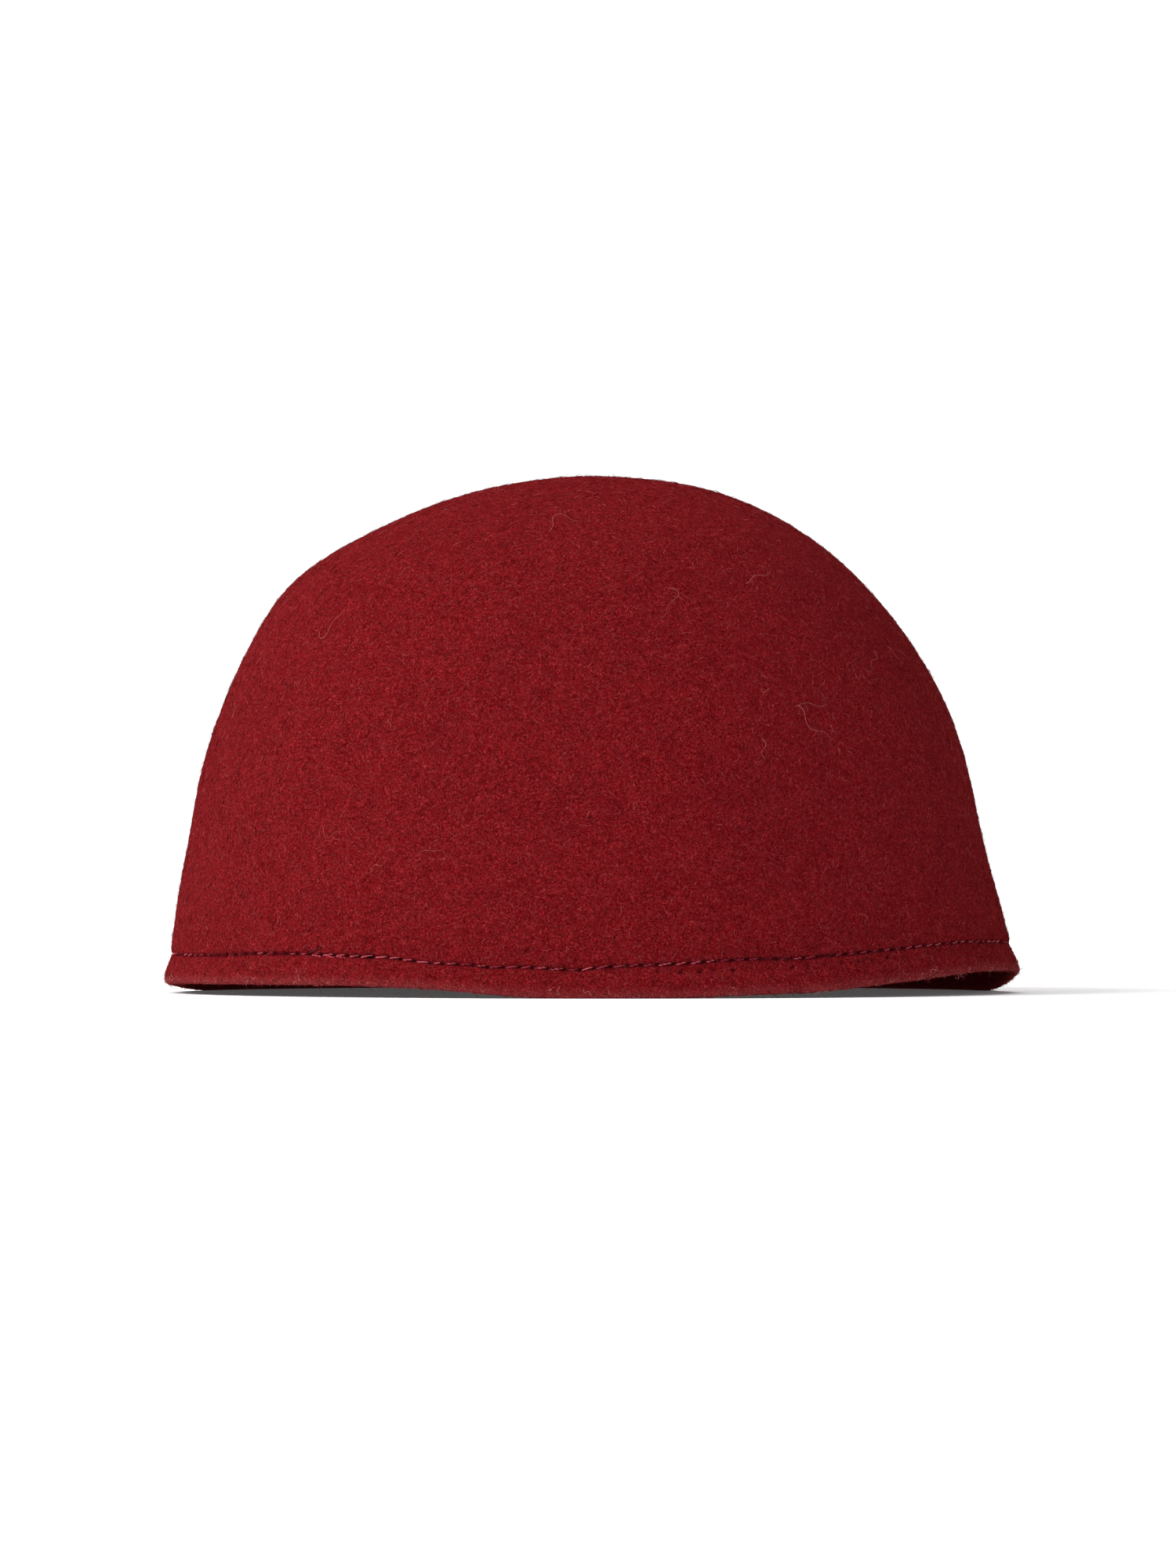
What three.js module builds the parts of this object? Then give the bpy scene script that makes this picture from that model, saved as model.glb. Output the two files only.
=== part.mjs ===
// A brimless cap of thick wool felt. It is one piece: a hood of felt, steamed and pulled over an oval
// block into a deep dome, and cut off level at the bottom with a raw edge. The front of the dome has a soft
// shoulder and the back falls away evenly. A line of stitches just above the edge draws the felt in a
// little, and the soft edge has warped, so that it rests on three stretches and lifts between them.
// Lengths are in millimetres. +Z is up, the front is at -X and the back at +X. The origin is under the
// middle of the cap, on the surface that its edge rests on.
import * as THREE from 'three';

// Driving dimensions
const frontReach = 102.6; // plan centre to the front, at the edge
const backReach = 102.8; // plan centre to the back, at the edge
const sideReach = 86; // plan centre to either side, at the edge
const crownHeight = 124.6; // resting surface to the top of the dome
const feltThickness = 2.2;
const hemDepth = 6.8; // cut edge up to the line of stitches
const seamPinch = 0.45; // how far the stitches draw the felt in
const seamPinchReach = 1.8; // height over which that fades, above and below the stitches
const hemFlare = 0.5; // how far the edge stands out again below the stitches
const edgeRounding = 0.5; // worn corner on both sides of the cut edge
const edgeLift = 5.7; // largest gap under the warped edge
const liftFade = 38; // height over which the wall takes up that warp
const backFullness = 0.03; // share by which the back half is wider than the front half

// Steps of the faceted surface
const turnSteps = 72;
const outerSteps = 19; // above the hem, outside
const innerSteps = 15; // above the hem, inside
const hemLevels = [0.4, 0.75, 0.9, 1, 1.1, 1.25, 1.6, 2.3]; // shares of hemDepth

// Sections of the dome from its edge to its top, about 12 mm apart along the felt. up is a share of
// crownHeight, front, back and side are shares of the three reaches.
const sections = [
  { up: 0, front: 1, back: 1, side: 1 },
  { up: 0.1, front: 0.983, back: 0.972, side: 0.985 },
  { up: 0.2, front: 0.968, back: 0.944, side: 0.97 },
  { up: 0.3, front: 0.946, back: 0.915, side: 0.952 },
  { up: 0.4, front: 0.925, back: 0.892, side: 0.932 },
  { up: 0.5, front: 0.893, back: 0.86, side: 0.903 },
  { up: 0.6, front: 0.846, back: 0.807, side: 0.86 },
  { up: 0.7, front: 0.786, back: 0.729, side: 0.795 },
  { up: 0.78, front: 0.722, back: 0.65, side: 0.722 },
  { up: 0.84, front: 0.631, back: 0.577, side: 0.645 },
  { up: 0.89, front: 0.516, back: 0.497, side: 0.555 },
  { up: 0.935, front: 0.402, back: 0.4, side: 0.44 },
  { up: 0.97, front: 0.271, back: 0.286, side: 0.312 },
  { up: 0.991, front: 0.132, back: 0.155, side: 0.168 },
  { up: 1, front: 0, back: 0, side: 0 },
];

// The warp of the cut edge round the cap. turn is in degrees from the back towards the far side, and
// lift is a share of edgeLift. The edge rests where two neighbouring rows have no lift.
const edgeWarp = [
  { turn: 0, lift: 0.74 },
  { turn: 18, lift: 0 },
  { turn: 64, lift: 0 },
  { turn: 79, lift: 0.1 },
  { turn: 94, lift: 0 },
  { turn: 157, lift: 0 },
  { turn: 170, lift: 0.18 },
  { turn: 182, lift: 0.4 },
  { turn: 205, lift: 0.47 },
  { turn: 232, lift: 0.5 },
  { turn: 246, lift: 0.42 },
  { turn: 256, lift: 0.2 },
  { turn: 265, lift: 0 },
  { turn: 279, lift: 0 },
  { turn: 289, lift: 0.14 },
  { turn: 299, lift: 0.22 },
  { turn: 308, lift: 0.46 },
  { turn: 318, lift: 0.69 },
  { turn: 333, lift: 1 },
  { turn: 348, lift: 0.96 },
];

// One smooth curve from the edge over the top and down to the edge again. Its second half mirrors the
// first, which makes the top level.
function profileOf(column, reach) {
  const climb = sections.map((row) => new THREE.Vector2(reach * row[column], crownHeight * row.up));
  const fall = climb.slice(0, -1).reverse();
  return new THREE.SplineCurve([...climb, ...fall.map((point) => new THREE.Vector2(-point.x, point.y))]);
}

const frontProfile = profileOf('front', frontReach);
const backProfile = profileOf('back', backReach);
const sideProfile = profileOf('side', sideReach);

// A place on the dome runs from 0 at the edge to 1 at the top
function onProfile(profile, place) {
  return profile.getPoint(place / 2);
}

function placeAtHeight(height) {
  let low = 0;
  let high = 1;
  for (let halving = 0; halving < 30; halving++) {
    const middle = (low + high) / 2;
    if (onProfile(sideProfile, middle).y < height) low = middle;
    else high = middle;
  }
  return low;
}

// How high the cut edge stands at a turn in radians: a smooth closed curve through the rows of edgeWarp
// that never passes beyond them
function liftAt(turn) {
  const degrees = THREE.MathUtils.euclideanModulo(THREE.MathUtils.radToDeg(turn), 360);
  const count = edgeWarp.length;
  const row = (index) => {
    const wraps = Math.floor(index / count);
    const { turn: at, lift } = edgeWarp[index - wraps * count];
    return { at: at + 360 * wraps, lift };
  };
  const slope = (index) => (row(index + 1).lift - row(index).lift) / (row(index + 1).at - row(index).at);
  const tangent = (index) => {
    const before = slope(index - 1);
    const after = slope(index);
    return before * after <= 0 ? 0 : (2 * before * after) / (before + after);
  };
  const index = edgeWarp.findLastIndex((entry) => entry.turn <= degrees);
  const span = row(index + 1).at - row(index).at;
  const t = (degrees - row(index).at) / span;
  const share =
    row(index).lift * (1 + 2 * t) * (1 - t) ** 2 +
    row(index + 1).lift * t ** 2 * (3 - 2 * t) +
    span * tangent(index) * t * (1 - t) ** 2 +
    span * tangent(index + 1) * t ** 2 * (t - 1);
  return edgeLift * share;
}

// The outer face of the felt at a turn and a place
function outerPoint(turn, place) {
  const cos = Math.cos(turn);
  const sin = Math.sin(turn);
  const along = onProfile(cos < 0 ? frontProfile : backProfile, place);
  const across = onProfile(sideProfile, place);
  const height = across.y;
  const pinch = seamPinch * Math.exp(-(((height - hemDepth) / seamPinchReach) ** 2));
  const flare = hemFlare * Math.max(0, 1 - height / hemDepth) ** 2;
  const lift = liftAt(turn) * (1 - THREE.MathUtils.smoothstep(height, 0, liftFade));
  return new THREE.Vector3(
    (along.x + flare - pinch) * cos,
    (across.x + flare - pinch) * sin * (1 + backFullness * cos),
    height + lift,
  );
}

// The way out of the felt at a turn and a place, level at the edge so that the cut is level too
function outward(turn, place) {
  if (place >= 1) return new THREE.Vector3(0, 0, 1);
  const step = 1e-3;
  const round = outerPoint(turn + step, place).sub(outerPoint(turn - step, place));
  const up = outerPoint(turn, place + step).sub(outerPoint(turn, Math.max(0, place - step)));
  const way = round.cross(up).normalize();
  way.z *= Math.min(1, onProfile(sideProfile, place).y / hemDepth);
  return way.normalize();
}

// Rows of the wall's section, from the top down the inside, across the cut edge and up the outside. inset
// is how deep a row lies in the felt.
function wallRows() {
  const hemPlaces = hemLevels.map((level) => placeAtHeight(level * hemDepth));
  const corner = placeAtHeight(edgeRounding);
  const hemTop = hemPlaces.at(-1);
  const climb = (steps) =>
    Array.from({ length: steps }, (_, step) => hemTop + ((1 - hemTop) * (step + 1)) / steps);
  const inside = [corner, ...hemPlaces.filter((_, index) => index % 2), ...climb(innerSteps)].reverse();
  const outside = [corner, ...hemPlaces, ...climb(outerSteps)];
  return [
    ...inside.map((place) => ({ place, inset: feltThickness })),
    { place: 0, inset: feltThickness - edgeRounding },
    { place: 0, inset: edgeRounding },
    ...outside.map((place) => ({ place, inset: 0 })),
  ];
}

// The felt: a turned shell with the section's rows, then every vertex is set where the felt really is
function feltGeometry() {
  const rows = wallRows();
  const section = rows.map(
    ({ place, inset }) => new THREE.Vector2(Math.abs(onProfile(sideProfile, place).x), -inset),
  );
  const shell = new THREE.LatheGeometry(section, turnSteps);
  const vertices = shell.getAttribute('position');
  for (let step = 0; step <= turnSteps; step++) {
    const turn = (2 * Math.PI * (step % turnSteps)) / turnSteps;
    rows.forEach(({ place, inset }, row) => {
      const point = outerPoint(turn, place).addScaledVector(outward(turn, place), -inset);
      vertices.setXYZ(step * rows.length + row, point.x, point.y, point.z);
    });
  }
  shell.computeBoundingBox();
  const middle = shell.boundingBox.getCenter(new THREE.Vector3());
  shell.translate(-middle.x, -middle.y, 0);
  shell.computeVertexNormals();
  return shell;
}

const woolFelt = new THREE.MeshStandardMaterial({ color: 0x7c1a20, roughness: 0.96, metalness: 0 });

const feltCrown = new THREE.Mesh(feltGeometry(), woolFelt);
feltCrown.name = 'felt_crown';

const cap = new THREE.Group();
cap.add(feltCrown);

export default cap;
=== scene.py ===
"""A brimless cap of dark red wool felt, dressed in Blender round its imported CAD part."""

import math

import bmesh
import bpy
import numpy as np
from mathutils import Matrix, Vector, noise
from mathutils.bvhtree import BVHTree


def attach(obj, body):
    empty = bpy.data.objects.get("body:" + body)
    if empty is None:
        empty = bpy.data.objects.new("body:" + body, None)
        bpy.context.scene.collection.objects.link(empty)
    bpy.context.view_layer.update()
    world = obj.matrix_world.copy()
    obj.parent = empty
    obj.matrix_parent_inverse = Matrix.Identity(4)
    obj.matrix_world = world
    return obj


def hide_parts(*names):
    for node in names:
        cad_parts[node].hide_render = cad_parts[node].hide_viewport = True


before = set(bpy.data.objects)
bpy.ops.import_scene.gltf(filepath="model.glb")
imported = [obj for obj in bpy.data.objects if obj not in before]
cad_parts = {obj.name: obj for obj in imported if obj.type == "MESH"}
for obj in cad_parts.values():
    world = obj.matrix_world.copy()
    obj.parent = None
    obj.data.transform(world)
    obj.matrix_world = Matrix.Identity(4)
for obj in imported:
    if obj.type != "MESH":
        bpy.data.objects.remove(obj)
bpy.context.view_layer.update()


# The felt crown. One hood of wool felt, steamed and pulled over an oval block into a deep dome, and cut off
# level at the bottom with a raw edge. It has no band or lining, so the same felt shows inside. It is made
# as one closed wall that follows both faces of the CAD solid, and is finest round the stitches.

mm = 0.001
chance = np.random.default_rng(57)

weld_distance = 0.005 * mm
rounding_levels = 2
sight_point = Vector((0, 0, 30 * mm))  # both faces of the CAD solid are measured from here
sight_reach = 0.3
sight_turns = 360
hem_sights = 45
dome_sights = 110
hem_sight_angle = math.radians(14)
lowest_sight = -math.pi / 3
sight_halvings = 18
edge_margin = 1e-5  # in radians, between the edge and the first sight, and between the last and the top
top_margin = 1e-4

cut_width = 1.4 * mm  # along the felt, from the inside of the cut to the foot of its outer face
seam_height = 6.8 * mm  # of the stitches above the cut edge
seam_distance = cut_width + seam_height
hem_zone = 14 * mm  # rows keep their distance from the edge below this, and share out the rest above it
stitch_zone = 2.4 * mm  # the finest rows, on both sides of the stitches
side_share = 0.62  # of the way up the outside, where the coarsest rows start

stitch_count = 168
stitch_columns = 10 * stitch_count
hem_columns = stitch_columns // 2
side_columns = hem_columns // 2
top_columns = side_columns // 2

cut_row_pitch = 0.45 * mm
stitch_row_pitch = 0.26 * mm
hem_row_pitch = 0.75 * mm
side_row_pitch = 1.5 * mm
top_row_pitch = 1.7 * mm
outer_top_gap = 1.5 * mm  # between the last row and the top
inner_first_row = 0.5 * mm
inner_hem_row_pitch = 1.1 * mm
inner_row_pitch = 2.8 * mm
inner_top_gap = 2 * mm


def rounded_tree(node):
    """The node's surface with its facets rounded off, for sight lines."""
    shell = bmesh.new()
    shell.from_mesh(node.data)
    bmesh.ops.remove_doubles(shell, verts=shell.verts, dist=weld_distance)
    bmesh.ops.join_triangles(
        shell, faces=shell.faces, angle_face_threshold=math.pi, angle_shape_threshold=math.pi
    )
    mesh = bpy.data.meshes.new("rounded")
    shell.to_mesh(mesh)
    shell.free()
    holder = bpy.data.objects.new("rounded", mesh)
    bpy.context.scene.collection.objects.link(holder)
    holder.modifiers.new("rounding", "SUBSURF").levels = rounding_levels
    tree = BVHTree.FromObject(holder, bpy.context.evaluated_depsgraph_get())
    bpy.data.objects.remove(holder)
    bpy.data.meshes.remove(mesh)
    return tree


def seen(tree, turn, rise, outside):
    """Where one face of the felt is met at that turn and rise from the sight point."""
    way = Vector((math.cos(turn) * math.cos(rise), math.sin(turn) * math.cos(rise), math.sin(rise)))
    if outside:
        return tree.ray_cast(sight_point + way * sight_reach, -way, sight_reach)[0]
    return tree.ray_cast(sight_point, way, sight_reach)[0]


def face_of_felt(tree, outside):
    """Points up a face of the felt as (turn, row, xyz), and how far along it each is from the edge."""
    points = np.zeros((sight_turns, hem_sights + dome_sights, 3))
    for step in range(sight_turns):
        turn = 2 * math.pi * step / sight_turns
        missed = lowest_sight
        met = 0.0
        for _ in range(sight_halvings):
            middle = (missed + met) / 2
            if seen(tree, turn, middle, outside):
                met = middle
            else:
                missed = middle
        hem_end = met + hem_sight_angle
        hem_rises = np.linspace(met + edge_margin, hem_end, hem_sights, endpoint=False)
        dome_rises = np.linspace(hem_end, math.pi / 2 - top_margin, dome_sights)
        rises = np.concatenate([hem_rises, dome_rises])
        points[step] = [seen(tree, turn, rise, outside) for rise in rises]
    steps = np.linalg.norm(np.diff(points, axis=1), axis=2)
    distances = np.concatenate([np.zeros((sight_turns, 1)), np.cumsum(steps, axis=1)], axis=1)
    return points, distances


def ring_on(face, distance, columns):
    """A level ring of points on a face of the felt, at that distance from the edge."""
    points, distances = face
    mean_run = distances[:, -1].mean()
    ring = np.zeros((sight_turns, 3))
    for step, own in enumerate(distances):
        stretch = (own[-1] - hem_zone) / (mean_run - hem_zone)
        at = min(distance, hem_zone) + max(0.0, distance - hem_zone) * stretch
        ring[step] = [np.interp(at, own, points[step, :, axis]) for axis in range(3)]
    place = np.arange(columns) * sight_turns / columns
    whole = np.floor(place).astype(int)
    part = (place - whole)[:, None]
    before, start, end, after = (ring[(whole + offset) % sight_turns] for offset in (-1, 0, 1, 2))
    slope = (end - before) / 2
    next_slope = (after - start) / 2
    return (
        start * (1 + 2 * part) * (1 - part) ** 2
        + slope * part * (1 - part) ** 2
        + end * part**2 * (3 - 2 * part)
        + next_slope * part**2 * (part - 1)
    )


def faces_between(lower, upper):
    """Faces from one ring up to the next, which may have half or twice as many columns."""
    if len(lower) < len(upper):
        return [face[::-1] for face in faces_between(upper, lower)]
    if len(lower) == len(upper):
        return [(lower[i - 1], lower[i], upper[i], upper[i - 1]) for i in range(len(lower))]
    faces = []
    for i in range(len(upper)):
        left, middle, right = lower[2 * i - 2], lower[2 * i - 1], lower[2 * i]
        faces += [(left, middle, upper[i - 1]), (middle, upper[i], upper[i - 1]), (middle, right, upper[i])]
    return faces


def rows_between(start, end, pitch, columns):
    """Evenly spaced rows from start up to end, as distances from the edge with their number of columns."""
    places = np.linspace(start, end, round((end - start) / pitch), endpoint=False)
    return [(place, columns) for place in places]


def mesh_piece(name, points, faces, materials):
    """A smooth mesh object, with its materials."""
    mesh = bpy.data.meshes.new(name)
    mesh.from_pydata([tuple(point) for point in points], [], faces)
    mesh.update()
    mesh.polygons.foreach_set("use_smooth", np.ones(len(mesh.polygons), bool))
    for material in materials:
        mesh.materials.append(material)
    piece = bpy.data.objects.new(name, mesh)
    bpy.context.scene.collection.objects.link(piece)
    return piece


def normals_of(mesh):
    """The way out of the mesh at each vertex."""
    normals = np.zeros(len(mesh.vertices) * 3, np.float32)
    mesh.vertex_normals.foreach_get("vector", normals)
    return normals.reshape(-1, 3).astype(float)


def uneven(points, size, seed):
    """Smooth noise from about -1 to 1, with lumps of that size, at each of the points."""
    offset = Vector((seed, 0, 0))
    return np.array([noise.noise(Vector(point) / size + offset) for point in points])


def bell(distance, width):
    """1 at no distance, falling off smoothly on both sides."""
    return np.exp(-((distance / width) ** 2))


tree = rounded_tree(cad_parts["felt_crown"])
outer_face = face_of_felt(tree, outside=True)
inner_face = face_of_felt(tree, outside=False)
outer_run = outer_face[1][:, -1].mean()
inner_run = inner_face[1][:, -1].mean()

side_top = side_share * outer_run
stitch_foot = seam_distance - stitch_zone
stitch_head = seam_distance + stitch_zone
outer_rows = [
    *rows_between(0, stitch_foot, cut_row_pitch, hem_columns),
    *rows_between(stitch_foot, stitch_head, stitch_row_pitch, stitch_columns),
    *rows_between(stitch_head, hem_zone, hem_row_pitch, hem_columns),
    *rows_between(hem_zone, side_top, side_row_pitch, side_columns),
    *rows_between(side_top, outer_run - outer_top_gap, top_row_pitch, top_columns),
]
inner_rows = [
    *rows_between(inner_first_row, hem_zone, inner_hem_row_pitch, side_columns),
    *rows_between(hem_zone, inner_run - inner_top_gap, inner_row_pitch, top_columns),
]

# Each vertex of the felt has its turn, its distance from the edge along the felt, and 1 if it is inside
felt_rings = []
felt_faces = []
felt_turns = []
felt_distances = []
felt_inside = []


def lay_ring(points, distance, inside):
    """Adds a ring to the felt's vertices and returns their numbers."""
    first = sum(len(ring) for ring in felt_rings)
    numbers = range(first, first + len(points))
    felt_rings.append(points)
    felt_turns.append(2 * math.pi * np.arange(len(points)) / len(points))
    felt_distances.append(np.full(len(points), distance))
    felt_inside.append(np.full(len(points), inside))
    return numbers


edge_ring = lay_ring(ring_on(outer_face, *outer_rows[0]), 0.0, 0.0)
below = edge_ring
for distance, columns in outer_rows[1:]:
    ring = lay_ring(ring_on(outer_face, distance, columns), distance, 0.0)
    felt_faces += faces_between(below, ring)
    below = ring
(outer_summit,) = lay_ring([outer_face[0][:, -1].mean(axis=0)], outer_run, 0.0)
felt_faces += [(below[i - 1], below[i], outer_summit) for i in range(len(below))]
below = edge_ring
for distance, columns in inner_rows:
    ring = lay_ring(ring_on(inner_face, distance, columns), distance, 1.0)
    felt_faces += [face[::-1] for face in faces_between(below, ring)]
    below = ring
(inner_summit,) = lay_ring([inner_face[0][:, -1].mean(axis=0)], inner_run, 1.0)
felt_faces += [(below[i], below[i - 1], inner_summit) for i in range(len(below))]

felt_points = np.concatenate(felt_rings)
felt_turns = np.concatenate(felt_turns)
felt_distances = np.concatenate(felt_distances)
felt_inside = np.concatenate(felt_inside)
outside_only = felt_inside == 0

# Places along the seam are lengths round it from the middle of the back, towards the far side
seam_ring = ring_on(outer_face, seam_distance, stitch_columns)
seam_steps = np.linalg.norm(np.roll(seam_ring, -1, axis=0) - seam_ring, axis=1)
seam_lengths = np.concatenate([[0], np.cumsum(seam_steps)])
seam_length = seam_lengths[-1]
seam_turn_marks = np.linspace(0, 2 * math.pi, stitch_columns + 1)


def along_seam(turn):
    """The place along the seam at a turn."""
    return np.interp(turn, seam_turn_marks, seam_lengths)


def turn_at(length):
    """The turn at a place along the seam."""
    return np.interp(np.mod(length, seam_length), seam_lengths, seam_turn_marks)


def gap_to(places, lengths):
    """The shortest way round the seam from each length to any of the places."""
    gaps = np.abs(lengths[:, None] - np.asarray(places)[None, :])
    return np.minimum(gaps, seam_length - gaps).min(axis=1)


# Where the needle went through. The stitches run round once, in a line that wanders where the felt was
# guided by hand, and their ends are sewn over each other for four stitches at the front of the near side.
# On the back half of the near side is a row of holes from stitches that were taken out.
stitch_pitch = seam_length / stitch_count
needle_play = 0.07
needle_places = stitch_pitch * (
    np.arange(stitch_count) + chance.uniform(-needle_play, needle_play, stitch_count)
)
overlap_start = along_seam(math.radians(222.8))
overlap_stitches = 4
wide_holes = [  # turn, and half the width and height of a place where the needle tore the felt
    (math.radians(232.6), 0.45 * mm, 0.35 * mm),
    (math.radians(234.9), 0.95 * mm, 0.5 * mm),
]
wander = [  # turn in degrees, and how far above their mean line the stitches run there in mm
    (186, 0),
    (198, -0.4),
    (208, -0.3),
    (215, 0.1),
    (226, 0),
    (231, -0.3),
    (238, -0.35),
    (245, -1.15),
    (249, -1.0),
    (251, -0.8),
    (254, -1.0),
    (259, -0.35),
    (263, -0.35),
    (268, -0.55),
    (271, 0),
    (277, 0.5),
    (285, 0.72),
    (289, 0.95),
    (295, 1.0),
    (301, 0.75),
    (306, 1.0),
    (311, 0.75),
    (323, 0.7),
    (331, 0.3),
    (337, 0),
]
wander_turns = np.radians([turn for turn, _ in wander])
wander_heights = mm * np.array([height for _, height in wander])

old_hole_pitch = 4.4 * mm
old_hole_play = 0.16
old_hole_drop = 1.25 * mm  # below the mean line
old_hole_drop_play = (-0.25, 0.3)  # in mm
old_hole_openness_play = (0.35, 1.15)  # some have closed up more than others
old_hole_first = along_seam(math.radians(280))
old_hole_last = along_seam(math.radians(340))
old_hole_count = round((old_hole_last - old_hole_first) / old_hole_pitch)
old_hole_steps = np.arange(old_hole_count) + chance.uniform(-old_hole_play, old_hole_play, old_hole_count)
old_hole_places = old_hole_first + old_hole_pitch * old_hole_steps
old_hole_drops = old_hole_drop + chance.uniform(*old_hole_drop_play, old_hole_count) * mm
old_hole_openness = chance.uniform(*old_hole_openness_play, old_hole_count)

groove_depth = 0.32 * mm
groove_width = 0.5 * mm
needle_depth = 0.7 * mm
needle_length = 0.5 * mm
needle_width = 0.26 * mm
wide_hole_depth = 1.1 * mm
old_hole_depth = 0.65 * mm
old_hole_length = 0.46 * mm
old_hole_width = 0.34 * mm
inner_groove_depth = 0.15 * mm
pucker_rise = 0.1 * mm
pucker_offset = 0.84 * mm  # of the puckers from the stitches, on both sides
pucker_width = 1.05 * mm
hem_fullness = 0.28 * mm  # how far the felt swells between the stitches and the edge
hem_fullness_reach = 0.36 * seam_distance
corner_wear = 0.3 * mm  # how far the outer corner of the cut is worn back
corner_wear_reach = 0.7 * mm

# Painted shade: how dark the creases and holes are painted, where shade falls in them
groove_shade = 0.95  # how dark the creases and holes are
# the painted shadow lies a little below the middle of the groove
groove_shade_drop = 0.08 * mm
groove_shade_width = 0.36 * mm
needle_shade = 0.6
wide_hole_shade = 1.3
old_hole_shade = 1.1
inner_groove_shade = 0.4
inner_groove_shade_width = 0.7 * mm

unevenness = [  # height, size and seed of the lumps that the hands, the steam and the wool left in the felt
    (0.17 * mm, 22 * mm, 3),
    (0.05 * mm, 5 * mm, 11),
    (0.05 * mm, 2 * mm, 23),
]
calm_reach = 3 * mm  # past the cut, over which that unevenness grows
cut_fray = 0.3 * mm
cut_fray_size = 1.5 * mm
cut_fray_seed = 41
cut_fray_reach = 0.8 * mm  # past the corners of the cut
least_fray = 0.05
pale_edge_reach = 2.2 * mm
pale_edge_fade = 1.3
edge_settle = 0.14 * mm  # how far the soft edge settles on what it rests on
edge_settle_reach = 2.5 * mm


def wander_at(turns):
    """How far above their mean line the stitches run at each turn."""
    return np.interp(turns, wander_turns, wander_heights)


# How deep the stitches and holes sink each vertex, how dark the painted shade in them is, and how pale at
# the cut, partly with a painted highlight
above_mean_line = felt_distances - seam_distance
above_seam = above_mean_line - wander_at(felt_turns)
near_seam = np.flatnonzero(outside_only & (np.abs(above_seam) < 3 * stitch_zone))
lengths_here = along_seam(felt_turns[near_seam])
heights_here = above_seam[near_seam]
needle_gap = gap_to(needle_places, lengths_here)
needle_mark = bell(needle_gap, needle_length) * bell(heights_here, needle_width)
wide_hole_mark = np.zeros(len(near_seam))
for turn, length, width in wide_holes:
    wide_hole_mark += bell(gap_to([along_seam(turn)], lengths_here), length) * bell(heights_here, width)
old_hole_mark = np.zeros(len(near_seam))
for place, drop, openness in zip(old_hole_places, old_hole_drops, old_hole_openness):
    across = bell(above_mean_line[near_seam] + drop, old_hole_width)
    old_hole_mark += openness * bell(gap_to([place], lengths_here), old_hole_length) * across
between_needles = 2 * np.minimum(1, needle_gap / (0.5 * stitch_pitch)) - 1
puckers = bell(np.abs(heights_here) - pucker_offset, pucker_width) * between_needles
seam_sink = np.zeros(len(felt_points))
seam_sink[near_seam] = (
    groove_depth * bell(heights_here, groove_width)
    + needle_depth * needle_mark
    + wide_hole_depth * wide_hole_mark
    + old_hole_depth * old_hole_mark
    - pucker_rise * puckers
)
seam_sink -= hem_fullness * outside_only * bell(felt_distances - 0.5 * seam_distance, hem_fullness_reach)
seam_sink += corner_wear * outside_only * bell(felt_distances - cut_width, corner_wear_reach)
# Painted shade in the grooves and holes outside, and in the groove under the seam inside
painted_crease_shade = np.zeros(len(felt_points))
all_marks = (
    groove_shade * bell(heights_here + groove_shade_drop, groove_shade_width)
    + needle_shade * needle_mark
    + wide_hole_shade * wide_hole_mark
    + old_hole_shade * old_hole_mark
)
painted_crease_shade[near_seam] = np.clip(all_marks, 0, 1)
under_seam = np.flatnonzero(~outside_only & (np.abs(felt_distances - seam_height) < 2 * stitch_zone))
heights_under = felt_distances[under_seam] - seam_height - wander_at(felt_turns[under_seam])
seam_sink[under_seam] = inner_groove_depth * bell(heights_under, groove_width)
painted_crease_shade[under_seam] = inner_groove_shade * bell(heights_under, inner_groove_shade_width)
past_corner = np.where(outside_only, felt_distances - cut_width, felt_distances)
cut_face = 1 - np.clip(past_corner / cut_fray_reach, 0, 1)
# the cut's own paler tone together with a painted highlight along the edge
pale_edge_and_highlight = (1 - np.clip(past_corner / pale_edge_reach, 0, 1)) ** pale_edge_fade

cloud_roughness = 0.6
grain_look = (0.45 * mm, 4.0, 0.9)  # size, detail and distortion
grain_reds = [  # how high the grain is, and its colour there
    (0.32, (0.062, 0.0001, 0.0008, 1)),
    (0.45, (0.130, 0.0014, 0.0034, 1)),
    (0.56, (0.204, 0.0060, 0.0094, 1)),
    (0.68, (0.330, 0.0320, 0.0370, 1)),
]
shades = [  # the look of tufts, patches and drifts, and how their low and high parts tint the felt
    ((1.9 * mm, 1.0, 0.6), (0.87, 0.80, 0.81, 1), (1.10, 1.08, 1.05, 1)),
    ((6 * mm, 2.0, 0.4), (0.93, 0.87, 0.93, 1), (1.06, 1.11, 1.05, 1)),
    ((34 * mm, 1.0, 0.2), (0.97, 0.96, 0.97, 1), (1.03, 1.04, 1.03, 1)),
]
shade_low = 0.3
shade_high = 0.7
curls = [  # size and thickness of gaps, curls and fine curls, how much they show, their colour and height
    (1.1 * mm, 0.035, 0.55, (0.056, 0.0001, 0.0007, 1), -0.4),
    (1.5 * mm, 0.035, 0.36, (0.34, 0.058, 0.064, 1), 0.45),
    (0.9 * mm, 0.045, 0.38, (0.275, 0.036, 0.042, 1), 0.3),
]
curl_detail = 1.0
curl_distortion = 2.6
# painted shade: the felt is darkened towards this colour in the creases and holes
painted_shade_strength = 0.82
painted_shade_colour = (0.022, 0.0018, 0.0045, 1)
# the cut's paler tone and a painted highlight, added along the cut edge
pale_edge_and_highlight_colour = (0.070, 0.017, 0.018, 1)  # added where the felt is cut
bump_strength = 0.85
bump_height = 0.25 * mm
felt_roughness = 0.95
felt_sheen = 0.008
felt_sheen_roughness = 0.4
felt_sheen_tint = (1.0, 0.85, 0.6, 1)


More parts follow.
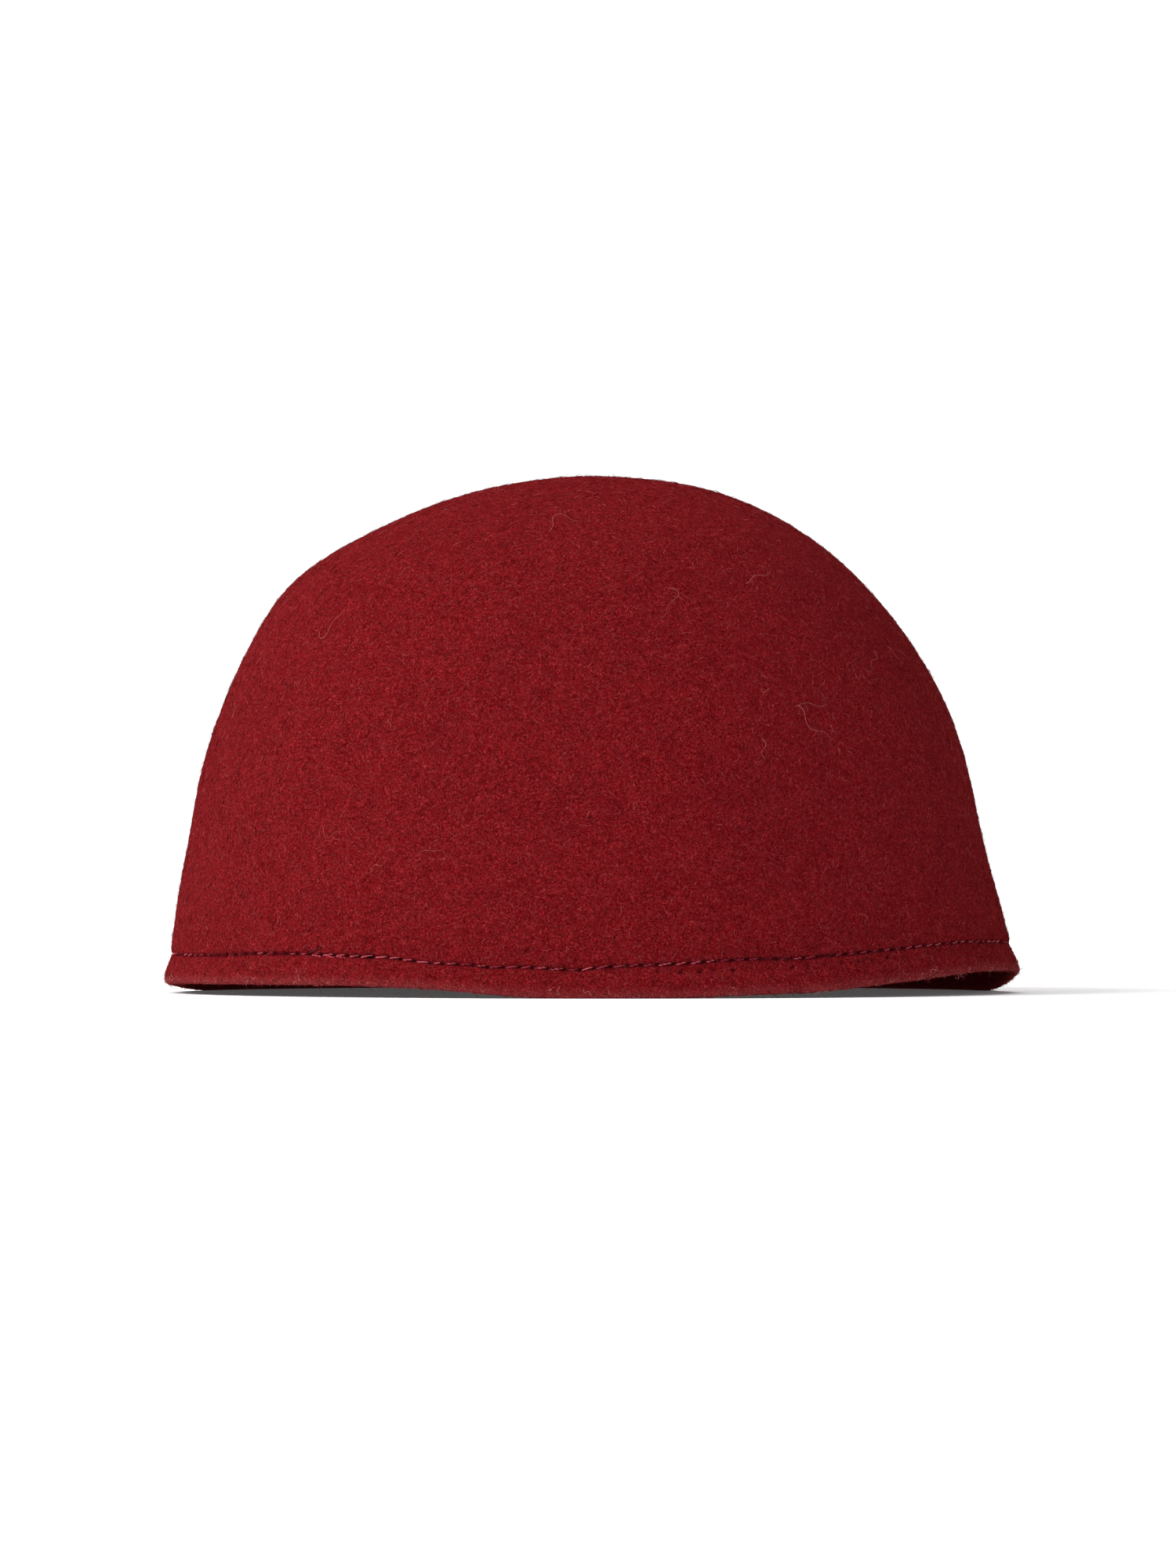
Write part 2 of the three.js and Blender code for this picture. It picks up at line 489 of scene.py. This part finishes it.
def matted(name):
    """Wool felt: flattened curly fibres in several reds, with painted shade in the creases and holes, and
    rosy where it is cut, partly a painted highlight.
    """
    material = bpy.data.materials.new(name)
    material.use_nodes = True
    nodes, links = material.node_tree.nodes, material.node_tree.links
    surface = nodes["Principled BSDF"]
    places = nodes.new("ShaderNodeTexCoord").outputs["Object"]

    def cloud(size, detail, distortion):
        texture = nodes.new("ShaderNodeTexNoise")
        texture.inputs["Scale"].default_value = 1 / size
        texture.inputs["Detail"].default_value = detail
        texture.inputs["Roughness"].default_value = cloud_roughness
        texture.inputs["Distortion"].default_value = distortion
        links.new(places, texture.inputs["Vector"])
        return texture.outputs["Fac"]

    def ramp(value, *stops):
        node = nodes.new("ShaderNodeValToRGB")
        node.color_ramp.elements[0].position, node.color_ramp.elements[0].color = stops[0]
        node.color_ramp.elements[1].position, node.color_ramp.elements[1].color = stops[-1]
        for position, colour in stops[1:-1]:
            node.color_ramp.elements.new(position).color = colour
        links.new(value, node.inputs["Fac"])
        return node.outputs["Color"]

    def feed(socket, value):
        if isinstance(value, bpy.types.NodeSocket):
            links.new(value, socket)
        else:
            socket.default_value = value

    def blend(share, one, other, mode="MIX"):
        node = nodes.new("ShaderNodeMix")
        node.data_type = "RGBA"
        node.blend_type = mode
        feed(node.inputs["Factor"], share)
        feed(node.inputs["A"], one)
        feed(node.inputs["B"], other)
        return node.outputs["Result"]

    def maths(operation, one, other=0.0):
        node = nodes.new("ShaderNodeMath")
        node.operation = operation
        feed(node.inputs[0], one)
        feed(node.inputs[1], other)
        return node.outputs["Value"]

    def curled(size, thickness):
        """Thin curling lines: the places where a distorted cloud passes its middle value."""
        off_middle = maths("ABSOLUTE", maths("SUBTRACT", cloud(size, curl_detail, curl_distortion), 0.5))
        return maths("SUBTRACT", 1.0, maths("MINIMUM", maths("DIVIDE", off_middle, thickness), 1.0))

    def mark(attribute):
        node = nodes.new("ShaderNodeAttribute")
        node.attribute_name = attribute
        return node.outputs["Fac"]

    height = cloud(*grain_look)
    colour = ramp(height, *grain_reds)
    for look, low_tint, high_tint in shades:
        tint = ramp(cloud(*look), (shade_low, low_tint), (shade_high, high_tint))
        colour = blend(1.0, colour, tint, "MULTIPLY")
    for size, thickness, strength, curl_colour, curl_height in curls:
        lines = curled(size, thickness)
        colour = blend(maths("MULTIPLY", lines, strength), colour, curl_colour)
        height = maths("ADD", height, maths("MULTIPLY", lines, curl_height))
    # painted shade in the creases and holes
    colour = blend(maths("MULTIPLY", mark("painted_crease_shade"), painted_shade_strength), colour, painted_shade_colour)
    # the cut's paler tone and a painted highlight along the edge
    colour = blend(mark("pale_edge_and_highlight"), colour, pale_edge_and_highlight_colour, "ADD")
    links.new(colour, surface.inputs["Base Color"])

    bump = nodes.new("ShaderNodeBump")
    bump.inputs["Strength"].default_value = bump_strength
    bump.inputs["Distance"].default_value = bump_height
    links.new(height, bump.inputs["Height"])
    links.new(bump.outputs["Normal"], surface.inputs["Normal"])
    surface.inputs["Roughness"].default_value = felt_roughness
    surface.inputs["Specular IOR Level"].default_value = 0.0
    surface.inputs["Sheen Weight"].default_value = felt_sheen
    surface.inputs["Sheen Roughness"].default_value = felt_sheen_roughness
    surface.inputs["Sheen Tint"].default_value = felt_sheen_tint
    return material


flat_margin = 0.005
flat_bands = np.array([(0.005, 0.395), (0.405, 0.795), (0.805, 0.895), (0.905, 0.995)])


def unrolled(mesh):
    """Lays the wall out flat for its painted maps, in four bands: two halves of each face."""
    corners = np.zeros(len(mesh.loops), np.int64)
    mesh.loops.foreach_get("vertex_index", corners)
    starts = np.zeros(len(mesh.polygons), np.int64)
    mesh.polygons.foreach_get("loop_start", starts)
    totals = np.diff(np.append(starts, len(corners)))
    turns = felt_turns[corners]
    # A summit is the last corner of its triangles, and takes its turn from their first
    at_summits = np.flatnonzero(np.isin(corners, (outer_summit, inner_summit)))
    turns[at_summits] = turns[at_summits - 2]
    across_back = np.maximum.reduceat(turns, starts) - np.minimum.reduceat(turns, starts) > math.pi
    turns += 2 * math.pi * (np.repeat(across_back, totals) & (turns < math.pi))
    half = np.repeat(np.add.reduceat(turns, starts) / totals > math.pi, totals)
    inside = np.repeat(np.maximum.reduceat(felt_inside[corners], starts) > 0, totals)
    band = flat_bands[2 * inside + half]
    runs = np.where(felt_inside[corners] > 0, inner_run, outer_run)
    flat = np.empty((len(corners), 2), np.float32)
    flat[:, 0] = flat_margin + (1 - 2 * flat_margin) * (turns / math.pi - half)
    flat[:, 1] = band[:, 0] + (band[:, 1] - band[:, 0]) * felt_distances[corners] / runs
    mesh.uv_layers.new(name="OFBake").data.foreach_set("uv", flat.ravel())


felt = mesh_piece("felt_cap", felt_points, felt_faces, [matted("wool_felt")])
unrolled(felt.data)
felt_normals = normals_of(felt.data)
swell = sum(height * uneven(felt_points, size, seed) for height, size, seed in unevenness)
calm = np.clip((felt_distances - cut_width) / calm_reach, 0, 1)
felt_points = felt_points + felt_normals * (swell * calm - seam_sink)[:, None]
frayed = np.flatnonzero(cut_face > least_fray)
fray = cut_fray * np.abs(uneven(felt_points[frayed], cut_fray_size, cut_fray_seed)) * cut_face[frayed]
felt_points[frayed] += felt_normals[frayed] * fray[:, None]
felt_points[:, 2] -= edge_settle * bell(felt_distances, edge_settle_reach)
felt_points[:, 2] = np.maximum(felt_points[:, 2], 0.0)
felt.data.vertices.foreach_set("co", felt_points.ravel())
# and the pale cut edge, partly a painted highlight
# the painted shade of the creases and holes
for title, values in (("painted_crease_shade", painted_crease_shade), ("pale_edge_and_highlight", pale_edge_and_highlight)):
    felt.data.attributes.new(title, "FLOAT", "POINT").data.foreach_set("value", values.astype(np.float32))
felt.data.update()
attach(felt, "root")
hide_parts("felt_crown")


# The seam thread. A dull wine-red sewing thread of two twisted strands, stitched right round by machine
# about 7 mm above the edge. Each stitch lies in the groove that it pulls in the felt, slants a little, and
# dives into the next needle hole, and the second thread runs the same way inside.

strand_radius = 0.12 * mm
twist_radius = 0.1 * mm
twists_per_stitch = 3.3
thread_sides = 5
stitch_rings = 11
bobbin_rings = 8
stitch_crest = -0.02 * mm  # middle of a stitch, over the felt's face
stitch_crest_play = 0.09 * mm
stitch_height_play = 0.05 * mm
stitch_dive = 1.2 * mm
dive_shape = 2.8  # the higher, the nearer to its ends a stitch dives
stitch_slant = 0.32 * mm
stitch_slant_play = (0.5, 1.4)
slack_turns = [math.radians(turn) for turn in (219, 224, 283, 288)]  # stitches lie higher between these
tight_sink = 0.2 * mm  # how much deeper the others are drawn into the felt
torn_sink = 0.7 * mm  # and those that cross a torn place
overlap_pitch = 0.98 * stitch_pitch
overlap_offset = 0.36 * mm
overlap_rise = 0.1 * mm
overlap_dive = 0.5 * mm
tail_start = 0.8 * stitch_pitch  # past the start of the stitches that are sewn over
tail_length = 3.9 * mm
tail_climb = 1.5 * mm
tail_climb_shape = 0.85
tail_rise = 0.25 * mm
tail_root_depth = 0.8 * mm  # below that rise, where the tail leaves the felt
tail_root_shape = 6
tail_twists = 4
band_step = 0.5 * mm

fibre_roughness = 0.75
thread_gloss = 0.07
thread_reds = {
    "dark_thread": (0.075, 0.0060, 0.010, 1),
    "deep_wine_thread": (0.125, 0.0070, 0.015, 1),
    "wine_thread": (0.260, 0.0270, 0.042, 1),
    "rubbed_thread": (0.430, 0.0780, 0.097, 1),
}
stitch_mix = {"deep_wine_thread": 0.22, "wine_thread": 0.44, "rubbed_thread": 0.34}
tail_mix = {"dark_thread": 1.0}


def unit(vectors):
    """The same ways, with a length of one."""
    return vectors / np.linalg.norm(vectors, axis=-1, keepdims=True)


def band_on(face, distance, outwards):
    """Points round a face at that distance from the edge, with the ways up and out there."""
    steps = (0, band_step, -band_step)
    middle, upper, lower = (ring_on(face, distance + step, stitch_columns) for step in steps)
    along = unit(np.roll(middle, -1, axis=0) - np.roll(middle, 1, axis=0))
    up = unit(upper - lower)
    return middle, up, unit(np.cross(along, up)) * outwards


def on_band(band, lengths, heights, offsets):
    """Points at lengths round the seam, heights above it and offsets off the felt, with up and out there."""
    turns = turn_at(lengths)
    heights = heights + wander_at(turns)
    place = turns / (2 * math.pi) * stitch_columns
    here = np.floor(place).astype(int) % stitch_columns
    after = (here + 1) % stitch_columns
    part = (place - np.floor(place))[..., None]
    middle, up, out = (values[here] * (1 - part) + values[after] * part for values in band)
    return middle + up * heights[..., None] + out * offsets[..., None], up, out


def twisted(middles, up, out, twists):
    """Centre lines of the two strands that wind round each middle line, with the way out of the felt."""
    share = np.linspace(0, 1, middles.shape[1])[None, :]
    phase = 2 * math.pi * (twists * share + chance.uniform(0, 1, len(middles))[:, None])
    swing = twist_radius * (up * np.cos(phase)[..., None] + out * np.sin(phase)[..., None])
    return np.concatenate([middles + swing, middles - swing]), np.concatenate([out, out])


def stitches(band, starts, ends, shift, rings, crest, slant, dive):
    """The strands of a run of stitches that dive at both ends."""
    share = np.linspace(0, 1, rings)[None, :]
    off_middle = 2 * share - 1
    count = (len(starts), 1)
    lengths = starts[:, None] + (ends - starts)[:, None] * share
    lean = slant * chance.uniform(*stitch_slant_play, count)
    heights = shift + chance.normal(0, stitch_height_play, count) + lean * off_middle
    sink = tight_sink * (1 - np.interp(turn_at(starts), slack_turns, (0, 1, 1, 0)))[:, None]
    for turn, length, _ in wide_holes:
        gaps = gap_to([along_seam(turn)], lengths.ravel()).reshape(lengths.shape)
        sink = sink + torn_sink * bell(gaps, length)
    offsets = crest - sink + chance.normal(0, stitch_crest_play, count)
    offsets = offsets - dive * np.abs(off_middle) ** dive_shape
    return twisted(*on_band(band, lengths, heights, offsets), twists_per_stitch)


def spun(lines, radii, lifts, sides):
    """Closed round strands with pointed ends along lines (strand, step, xyz); lifts is a way across each."""
    count, steps, _ = lines.shape
    ways = unit(np.gradient(lines, axis=1))
    across = unit(np.cross(ways, lifts))
    lifts = np.cross(across, ways)
    turns = 2 * math.pi * np.arange(sides) / sides
    spokes = (
        across[:, 1:-1, None] * np.cos(turns)[None, None, :, None]
        + lifts[:, 1:-1, None] * np.sin(turns)[None, None, :, None]
    )
    rings = lines[:, 1:-1, None] + spokes * radii[:, 1:-1, None, None]
    points = np.concatenate([lines[:, :1], rings.reshape(count, -1, 3), lines[:, -1:]], axis=1)
    inner = steps - 2
    last = 1 + inner * sides
    faces = [(0, 1 + (i + 1) % sides, 1 + i) for i in range(sides)]
    for ring in range(inner - 1):
        near = 1 + ring * sides
        far = near + sides
        faces += [(near + i, near + (i + 1) % sides, far + (i + 1) % sides, far + i) for i in range(sides)]
    faces += [(last, last - sides + i, last - sides + (i + 1) % sides) for i in range(sides)]
    starts = np.arange(count) * (last + 1)
    all_faces = [tuple(start + corner for corner in face) for start in starts for face in faces]
    return points.reshape(-1, 3), all_faces


def fibre_material(name, colour, gloss):
    """The plain material of a thread or hair, which is too thin for a pattern."""
    material = bpy.data.materials.new(name)
    material.use_nodes = True
    surface = material.node_tree.nodes["Principled BSDF"]
    surface.inputs["Base Color"].default_value = colour
    surface.inputs["Roughness"].default_value = fibre_roughness
    surface.inputs["Specular IOR Level"].default_value = gloss
    return material


def random_kinds(mix, count, materials):
    """The number of a random material for each of the strands; mix says how common each one is."""
    names = list(materials)
    return chance.choice([names.index(name) for name in mix], count, p=list(mix.values()))


def strand_piece(name, groups, sides, materials):
    """One piece from groups of strands: centre lines, radii, ways out and numbers of their materials."""
    points, faces, kinds_of_faces = [], [], []
    for lines, radii, outs, kinds in groups:
        start = sum(len(part) for part in points)
        group_points, group_faces = spun(lines, radii, outs, sides)
        points.append(group_points)
        faces += [tuple(start + corner for corner in face) for face in group_faces]
        kinds_of_faces.append(np.repeat(kinds, len(group_faces) // len(lines)))
    piece = mesh_piece(name, np.concatenate(points), faces, materials.values())
    piece.data.polygons.foreach_set("material_index", np.concatenate(kinds_of_faces).astype(np.int32))
    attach(piece, "root")


outer_band = band_on(outer_face, seam_distance, outwards=1)
inner_band = band_on(inner_face, seam_height, outwards=-1)
next_places = np.append(needle_places[1:], needle_places[0] + seam_length)
overlap_places = overlap_start + overlap_pitch * np.arange(overlap_stitches)
main_stitches = stitches(
    outer_band, needle_places, next_places, 0, stitch_rings, stitch_crest, stitch_slant, stitch_dive
)
overlap_run = stitches(
    outer_band,
    overlap_places,
    overlap_places + stitch_pitch,
    -overlap_offset,
    stitch_rings,
    stitch_crest + overlap_rise,
    -stitch_slant,
    overlap_dive,
)
bobbin_stitches = stitches(
    inner_band, needle_places, next_places, 0, bobbin_rings, stitch_crest, -stitch_slant, stitch_dive
)
tail_share = np.linspace(0, 1, 2 * stitch_rings)[None, :]
tail_lengths = overlap_start + tail_start + tail_length * tail_share
tail_heights = tail_climb * tail_share**tail_climb_shape
tail_offsets = tail_rise - tail_root_depth * (1 - tail_share) ** tail_root_shape
tail = twisted(*on_band(outer_band, tail_lengths, tail_heights, tail_offsets), tail_twists)

thread_materials = {name: fibre_material(name, red, thread_gloss) for name, red in thread_reds.items()}
thread_pieces = {
    "seam_thread": [(main_stitches, stitch_mix), (overlap_run, stitch_mix), (tail, tail_mix)],
    "bobbin_thread": [(bobbin_stitches, stitch_mix)],
}
for name, runs in thread_pieces.items():
    groups = []
    for (lines, outs), mix in runs:
        kinds = random_kinds(mix, len(lines), thread_materials)
        groups.append((lines, np.full(lines.shape[:2], strand_radius), outs, kinds))
    strand_piece(name, groups, thread_sides, thread_materials)


# The nap. Short wool hairs that the steaming and rubbing left on both faces of the felt: they lie flat,
# curl, and are held in the mat at one end or both. They are made as thin closed spindles in several reds.

nap_per_piece = 15000
nap_pieces = 3
inside_nap_hairs = 5000
nap_steps = 4
nap_length = (1.0 * mm, 3.4 * mm)
nap_radius = (0.045 * mm, 0.085 * mm)
nap_bend = 2.0
nap_rise = 0.11 * mm
nap_rise_spread = (1.6, 0.6)
nap_root_depth = 0.06 * mm
both_held_share = 0.6
arch_height = 1.2  # of a hair that is held at both ends, times its rise
free_end_height = 1.5
crease_bareness = 0.9  # share of the hairs that are missing where the felt is creased or pierced
lowest_hair = 0.06 * mm
hair_sides = 3
hair_taper = 0.75
curl_waves = 1.4
wool_gloss = 0.02
wool_reds = {
    "dark_wool": (0.064, 0.0002, 0.0009, 1),
    "red_wool": (0.152, 0.0034, 0.0060, 1),
    "bright_wool": (0.265, 0.0270, 0.0320, 1),
    "rosy_wool": (0.360, 0.0640, 0.0700, 1),
}
nap_mix = {"dark_wool": 0.30, "red_wool": 0.30, "bright_wool": 0.30, "rosy_wool": 0.10}

felt_out = normals_of(felt.data)


def roots_on_felt(count, inside):
    """Random places over one face of the felt, with the way out of it there."""
    felt.data.calc_loop_triangles()
    corners = np.zeros(len(felt.data.loop_triangles) * 3, np.int64)
    felt.data.loop_triangles.foreach_get("vertices", corners)
    corners = corners.reshape(-1, 3)
    corners = corners[(felt_inside[corners] == inside).all(axis=1)]
    first, second, third = (felt_points[corners[:, i]] for i in range(3))
    areas = np.linalg.norm(np.cross(second - first, third - first), axis=1)
    odds = areas * (1 - crease_bareness * painted_crease_shade[corners].mean(axis=1))
    chosen = corners[chance.choice(len(corners), count, p=odds / odds.sum())]
    parts = chance.dirichlet((1, 1, 1), count)
    places = (felt_points[chosen] * parts[..., None]).sum(axis=1)
    return places, unit((felt_out[chosen] * parts[..., None]).sum(axis=1))


def random_ways(outs):
    """A random way along the felt at each place."""
    return unit(np.cross(outs, chance.normal(size=outs.shape)))


def grown(roots, outs, ways, lengths, bends, rises, steps, curl=0.0):
    """Centre lines of hairs that start at roots, head along ways, bend about outs and rise off the felt."""
    side = np.cross(outs, ways)
    share = np.linspace(0, 1, steps)[None, :]
    phase = chance.uniform(0, 2 * math.pi, (len(roots), 1))
    angles = bends[:, None] * (share - 0.5) + curl * np.sin(2 * math.pi * curl_waves * share + phase)
    heads = ways[:, None] * np.cos(angles)[..., None] + side[:, None] * np.sin(angles)[..., None]
    strides = heads * (lengths / (steps - 1))[:, None, None]
    strides[:, 0] = 0
    lifts = rises(share) - nap_root_depth
    return roots[:, None] + np.cumsum(strides, axis=1) + outs[:, None] * lifts[..., None]


def hair_piece(name, lines, thickness, outs, mix):
    """One piece of many tapering hairs; mix says how common each of the wool materials is."""
    count, steps, _ = lines.shape
    lines[..., 2] = np.maximum(lines[..., 2], lowest_hair)
    kinds = random_kinds(mix, count, wool_materials)
    taper = 1 - hair_taper * np.linspace(0, 1, steps)[None, :]
    radii = chance.uniform(*thickness, count)[:, None] * taper
    group = (lines, radii, np.repeat(outs[:, None], steps, axis=1), kinds)
    strand_piece(name, [group], hair_sides, wool_materials)


def nap(name, count, inside):
    """One piece of the nap on one face of the felt."""
    roots, outs = roots_on_felt(count, inside)
    heights = nap_rise * chance.gamma(*nap_rise_spread, count)[:, None]
    both_held = chance.random(count)[:, None] < both_held_share

    def rises(share):
        arches = arch_height * np.sin(math.pi * share)
        return heights * np.where(both_held, arches, free_end_height * share)

    lengths = chance.uniform(*nap_length, count)
    ways = random_ways(outs)
    bends = chance.normal(0, nap_bend, count)
    lines = grown(roots, outs, ways, lengths, bends, rises, nap_steps)
    hair_piece(name, lines, nap_radius, outs, nap_mix)


wool_materials = {name: fibre_material(name, red, wool_gloss) for name, red in wool_reds.items()}
for number in range(nap_pieces):
    nap(f"outer_nap_{number + 1}", nap_per_piece, 0)
nap("inner_nap", inside_nap_hairs, 1)


# Loose hairs. Some long thin hairs of the same wool, most of them rosy and the rest pale, came out of the
# felt when it was rubbed. They lie curled on its outside, caught in the nap.

loose_hairs = 110
loose_steps = 22
loose_length = (4 * mm, 15 * mm)
loose_radius = (0.022 * mm, 0.038 * mm)
loose_bend = 3.2
loose_curl = 0.8
loose_rise = 0.35 * mm
loose_rise_play = (0.5, 1.6)
loose_arch_shape = 0.7
pale_wool_colour = (0.56, 0.21, 0.18, 1)
pale_wool_gloss = 0.1
loose_mix = {"rosy_wool": 0.7, "pale_wool": 0.3}

roots, outs = roots_on_felt(loose_hairs, 0)
loose_heights = loose_rise * chance.uniform(*loose_rise_play, (loose_hairs, 1))
ways = random_ways(outs)
lengths = chance.uniform(*loose_length, loose_hairs)
bends = chance.normal(0, loose_bend, loose_hairs)


def loose_rises(share):
    """How high each loose hair arches off the felt along its length."""
    return loose_heights * np.sin(math.pi * share) ** loose_arch_shape


lines = grown(roots, outs, ways, lengths, bends, loose_rises, loose_steps, loose_curl)
wool_materials["pale_wool"] = fibre_material("pale_wool", pale_wool_colour, pale_wool_gloss)
hair_piece("loose_hairs", lines, loose_radius, outs, loose_mix)


# The fuzz of the cut edge. Where the felt was cut its hairs stand out of the edge, paler than the faces, and
# here and there a longer curled one sticks out.

edge_groups = {
    "edge_fuzz": {
        "count": 9000,
        "steps": 4,
        "length": (0.25 * mm, 0.85 * mm),
        "radius": (0.035 * mm, 0.06 * mm),
        "middle": 1.5 * mm,
        "spread": 0.8 * mm,
        "clumping": 1.2,
        "standing": 0.7,
        "mix": {"bright_wool": 0.28, "rosy_wool": 0.50, "pale_wool": 0.22},
    },
    "edge_wisps": {
        "count": 260,
        "steps": 12,
        "length": (1.2 * mm, 4.2 * mm),
        "radius": (0.04 * mm, 0.06 * mm),
        "middle": 2.0 * mm,
        "spread": 0.5 * mm,
        "clumping": 2.8,
        "standing": 0.25,
        "mix": {"bright_wool": 0.15, "rosy_wool": 0.53, "pale_wool": 0.32},
    },
}
edge_clump_size = 9 * mm
edge_clump_seed = 67
edge_tousle = 0.5
edge_bend = 2.4
edge_curl = 1.1


def no_rise(share):
    """Lifts the hairs of the edge just as far as their roots are sunk, so that they start on the felt."""
    return np.full_like(share, nap_root_depth)


edge_places = np.flatnonzero(outside_only & (felt_distances < stitch_foot))
edge_clumps = uneven(felt_points[edge_places], edge_clump_size, edge_clump_seed)
for name, group in edge_groups.items():
    count = group["count"]
    odds = np.exp(group["clumping"] * edge_clumps)
    odds *= bell(felt_distances[edge_places] - group["middle"], group["spread"])
    own = chance.choice(edge_places, count, p=odds / odds.sum())
    outs = unit(felt_out[own] + chance.normal(0, edge_tousle, (count, 3)))
    ways = unit(random_ways(outs) + outs * chance.uniform(0, group["standing"], (count, 1)))
    axes = unit(np.cross(ways, chance.normal(size=ways.shape)))
    lengths = chance.uniform(*group["length"], count)
    bends = chance.normal(0, edge_bend, count)
    lines = grown(felt_points[own], axes, ways, lengths, bends, no_rise, group["steps"], edge_curl)
    hair_piece(name, lines, group["radius"], axes, group["mix"])


# The camera. It stands where the photograph was taken: straight at the side of the cap, 1.2 m away, and low,
# 20 mm above the surface that the cap rests on.

camera_distance = 1.2
camera_height = 20 * mm
picture_height = 2000
picture_middle = Vector((750, 1000))
cap_middle_column = 755
level_row = 1160
focus = 6340  # pixels
film = 36

lens = bpy.data.cameras.new("camera")
lens.sensor_width = film
lens.lens = film * focus / picture_height
camera = bpy.data.objects.new("camera", lens)
camera_shift = (picture_middle.x - cap_middle_column) * camera_distance / focus
camera.location = (camera_shift, -camera_distance, camera_height)
look_up = math.atan((level_row - picture_middle.y) / focus)
camera.rotation_euler = (math.pi / 2 + look_up, 0, 0)
bpy.context.scene.collection.objects.link(camera)
bpy.context.scene.camera = camera
bpy.context.scene.view_settings.view_transform = "Standard"


# The studio. A wide floor of white paper that glows faintly, a lit white backdrop, a large soft light high
# on the left, a softer one overhead, a weak one at the front right, a low narrow one at the front left that
# reaches under the raised edge, and pale light all round.

paper_roughness = 0.9
floor_reach = 80.0
floor_whiteness = (0.92, 0.92, 0.92, 1)
floor_glow = 0.065
backdrop_distance = 2.4
backdrop_side = 1.6
backdrop_top = 1.5
backdrop_whiteness = (0, 0, 0, 1)
backdrop_glow = 1.05
room_strength = 0.34
lights = {  # the side that each one shines from, its strength and its width in degrees
    "key_light": ((-0.75, -0.32, 0.62), 3.25, 38),
    "top_light": ((-0.12, 0.15, 0.97), 1.5, 70),
    "fill_light": ((0.76, -0.6, 0.24), 0.26, 50),
    "front_light": ((-0.5, -0.86, 0.03), 0.6, 8),
}


def paper(name, whiteness, glow):
    """Matt paper that also gives off some white light."""
    material = bpy.data.materials.new(name)
    material.use_nodes = True
    surface = material.node_tree.nodes["Principled BSDF"]
    surface.inputs["Base Color"].default_value = whiteness
    surface.inputs["Roughness"].default_value = paper_roughness
    surface.inputs["Specular IOR Level"].default_value = 0.0
    surface.inputs["Emission Color"].default_value = (1, 1, 1, 1)
    surface.inputs["Emission Strength"].default_value = glow
    return material


def sheet(name, points, material):
    """One flat sheet of the studio."""
    mesh_piece(name, points, [(0, 1, 2, 3)], [material])


floor_corners = ((-1, -1), (1, -1), (1, 1), (-1, 1))
floor_points = [(x * floor_reach, y * floor_reach, 0) for x, y in floor_corners]
backdrop_corners = (
    (-backdrop_side, 0),
    (backdrop_side, 0),
    (backdrop_side, backdrop_top),
    (-backdrop_side, backdrop_top),
)
backdrop_points = [(x, backdrop_distance, z) for x, z in backdrop_corners]
sheet("studio_floor", floor_points, paper("white_paper", floor_whiteness, floor_glow))
sheet("studio_backdrop", backdrop_points, paper("lit_paper", backdrop_whiteness, backdrop_glow))

for name, (source, strength, width) in lights.items():
    lamp = bpy.data.lights.new(name, "SUN")
    lamp.energy = strength
    lamp.angle = math.radians(width)
    light = bpy.data.objects.new(name, lamp)
    light.rotation_euler = (-Vector(source)).to_track_quat("-Z", "Y").to_euler()
    bpy.context.scene.collection.objects.link(light)

world = bpy.data.worlds.new("studio")
world.use_nodes = True
world.node_tree.nodes["Background"].inputs["Color"].default_value = (1, 1, 1, 1)
world.node_tree.nodes["Background"].inputs["Strength"].default_value = room_strength
bpy.context.scene.world = world
